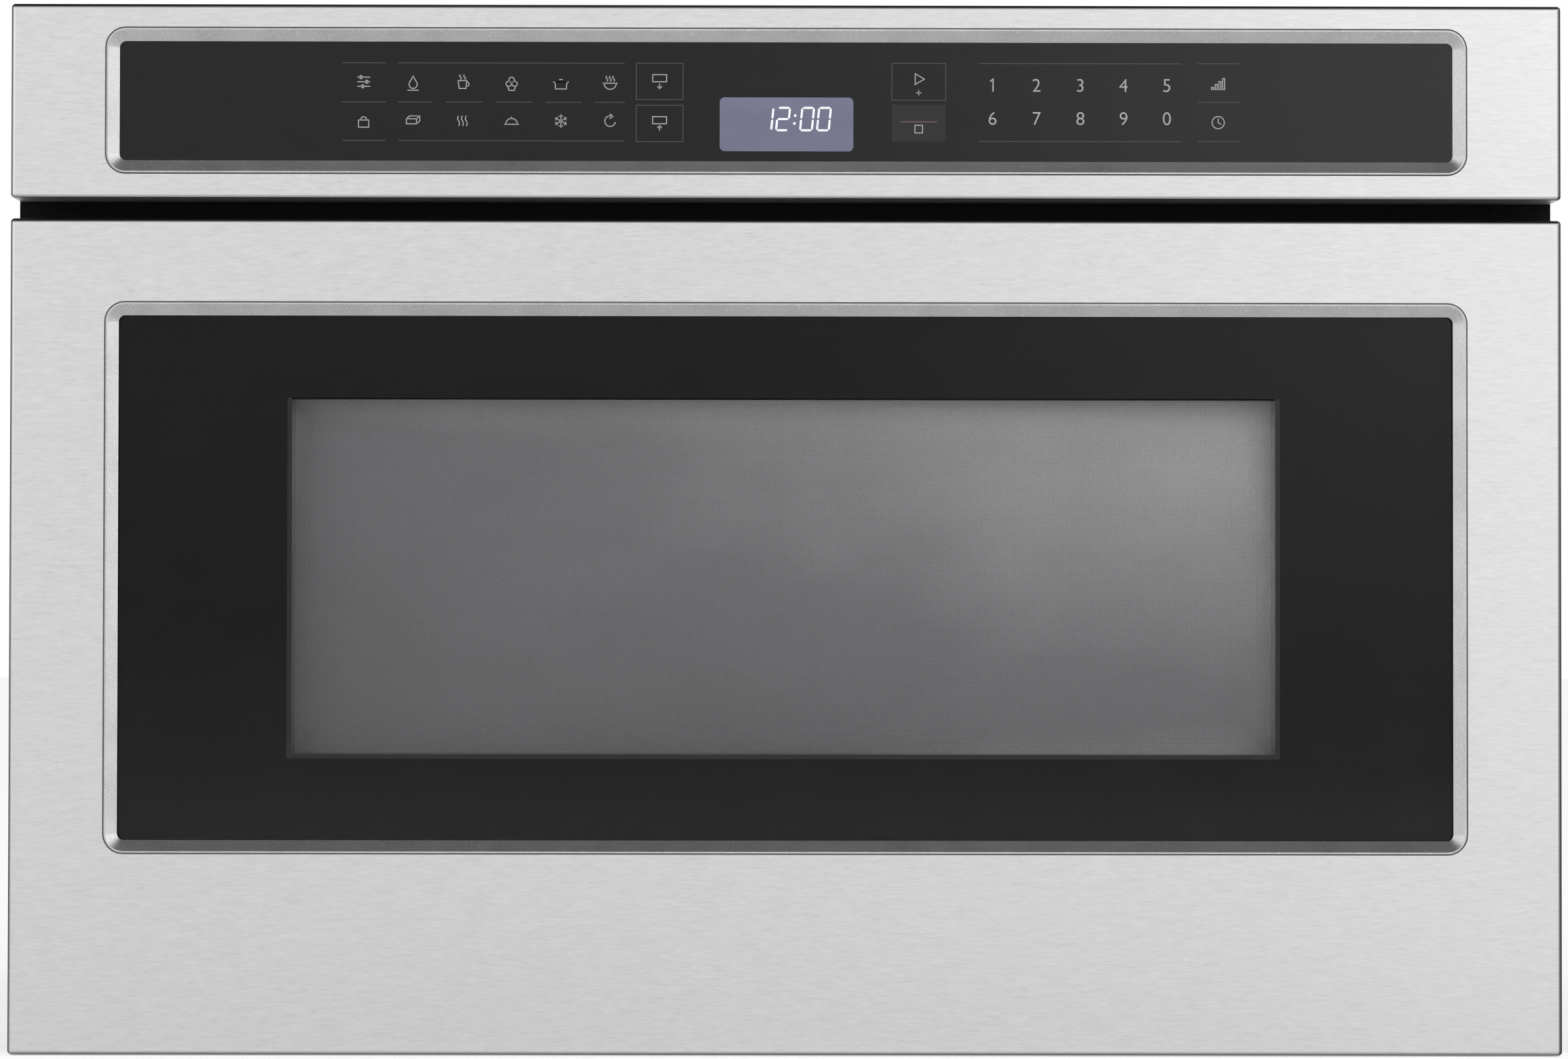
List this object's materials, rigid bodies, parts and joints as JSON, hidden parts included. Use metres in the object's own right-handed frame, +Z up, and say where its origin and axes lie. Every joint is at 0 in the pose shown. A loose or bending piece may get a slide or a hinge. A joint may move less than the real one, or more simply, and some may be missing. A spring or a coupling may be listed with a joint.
{
  "type": "microwave drawer",
  "caption": "Built-in microwave drawer with a stainless front, black glass controls and a motor-driven bin that slides out of its heating chamber.",
  "frame": {"origin": "on the cabinet's face plane, at the underside of the casing, midway between its sides", "axes": "X to the right as seen from the front, Y to the back, Z up; the drawer opens along -Y"},
  "size_m": [0.606, 0.6363, 0.41],
  "materials": {
    "stainless": "fine horizontal brushing",
    "bezel_silver": "silver paint, fine sparkle",
    "black_glass": "black-backed, polished",
    "door_glass": "polished, black print round a clear window",
    "clear_glass": "clear",
    "black_paint": "satin black",
    "galvanised": "zinc coated sheet",
    "grey_enamel": "smooth grey enamel",
    "screen_grey": "fine perforated sheet, grey",
    "white_ceramic": "smooth",
    "black_plastic": "moulded",
    "white_plastic": "moulded",
    "board_green": "circuit board",
    "display": "lit display",
    "zinc_steel": "zinc plated",
    "aluminium": "mill finish",
    "dark_steel": "varnished laminations",
    "copper": "enamelled copper wire",
    "black_rubber": "soft"
  },
  "bodies": {
    "housing": {"base_plate": "galvanised", "casing_top": "galvanised", "casing_side_left": "galvanised", "casing_side_right": "galvanised", "rear_panel": "galvanised", "casing_screws": "zinc_steel", "cord_gland": "black_plastic", "front_frame": "black_paint", "frame_screws": "black_paint", "control_panel_frame": "stainless", "control_bezel": "bezel_silver", "control_glass": "black_glass", "control_box": "black_plastic", "control_board": "board_green", "display_module": "display", "cavity_wrap": "grey_enamel", "cavity_ceiling": "grey_enamel", "cavity_rear_wall": "grey_enamel", "oven_lamp": "white_plastic", "humidity_sensor": "black_plastic", "waveguide": "galvanised", "magnetron_yoke": "galvanised", "magnetron_fins": "aluminium", "magnetron_filter_box": "galvanised", "transformer_core": "dark_steel", "transformer_windings": "copper", "hv_capacitor": "aluminium", "fan_shroud": "black_plastic", "fan_motor": "dark_steel", "antenna_motor": "zinc_steel", "slide_outer_left": "zinc_steel", "slide_outer_right": "zinc_steel", "rail_bracket_left": "galvanised", "rail_bracket_right": "galvanised", "drive_motor": "dark_steel", "motor_bracket": "galvanised", "rack_guide": "white_plastic", "switch_bracket": "galvanised", "interlock_switches": "black_plastic"},
    "drawer": {"drawer_front_skin": "stainless", "door_bezel": "bezel_silver", "door_glass": "door_glass", "door_frame": "black_paint", "window_screen": "screen_grey", "inner_window": "clear_glass", "choke_cover": "black_plastic", "door_bumpers": "black_rubber", "latch_hooks": "white_plastic", "bin_shell": "grey_enamel", "ceramic_floor": "white_ceramic", "slide_inner_left": "zinc_steel", "slide_inner_right": "zinc_steel", "rail_arm_left": "galvanised", "rail_arm_right": "galvanised", "drive_rack": "white_plastic"},
    "left_slide_middle": {"slide_middle_left": "zinc_steel"},
    "right_slide_middle": {"slide_middle_right": "zinc_steel"},
    "pinion": {"drive_pinion": "white_plastic"},
    "cooling_fan": {"fan_wheel": "black_plastic"},
    "stirrer": {"stirrer_antenna": "aluminium"}
  },
  "joints": [
    {"name": "drawer_slide", "type": "slide", "parent": "housing", "child": "drawer", "axis": [0, -1, 0], "range_m": [0, 0.381]},
    {"name": "left_slide_run", "type": "slide", "parent": "housing", "child": "left_slide_middle", "axis": [0, -1, 0], "range_m": [0, 0.1905]},
    {"name": "right_slide_run", "type": "slide", "parent": "housing", "child": "right_slide_middle", "axis": [0, -1, 0], "range_m": [0, 0.1905]},
    {"name": "pinion_turn", "type": "hinge", "parent": "housing", "child": "pinion", "pos_m": [0.138, 0.045, 0.041], "axis": [0, 0, 1], "range_deg": [0, 1213]},
    {"name": "fan_spin", "type": "hinge", "parent": "housing", "child": "cooling_fan", "pos_m": [0.178, 0.57, 0.112], "axis": [0, 1, 0], "continuous": true},
    {"name": "stirrer_spin", "type": "hinge", "parent": "housing", "child": "stirrer", "pos_m": [0, 0.215, 0.05], "axis": [0, 0, 1], "continuous": true}
  ],
  "couplings": [
    {"joint": "left_slide_run", "follows": "drawer_slide", "ratio": 0.5},
    {"joint": "right_slide_run", "follows": "drawer_slide", "ratio": 0.5},
    {"joint": "pinion_turn", "follows": "drawer_slide", "rad_per_m": 55.556}
  ]
}
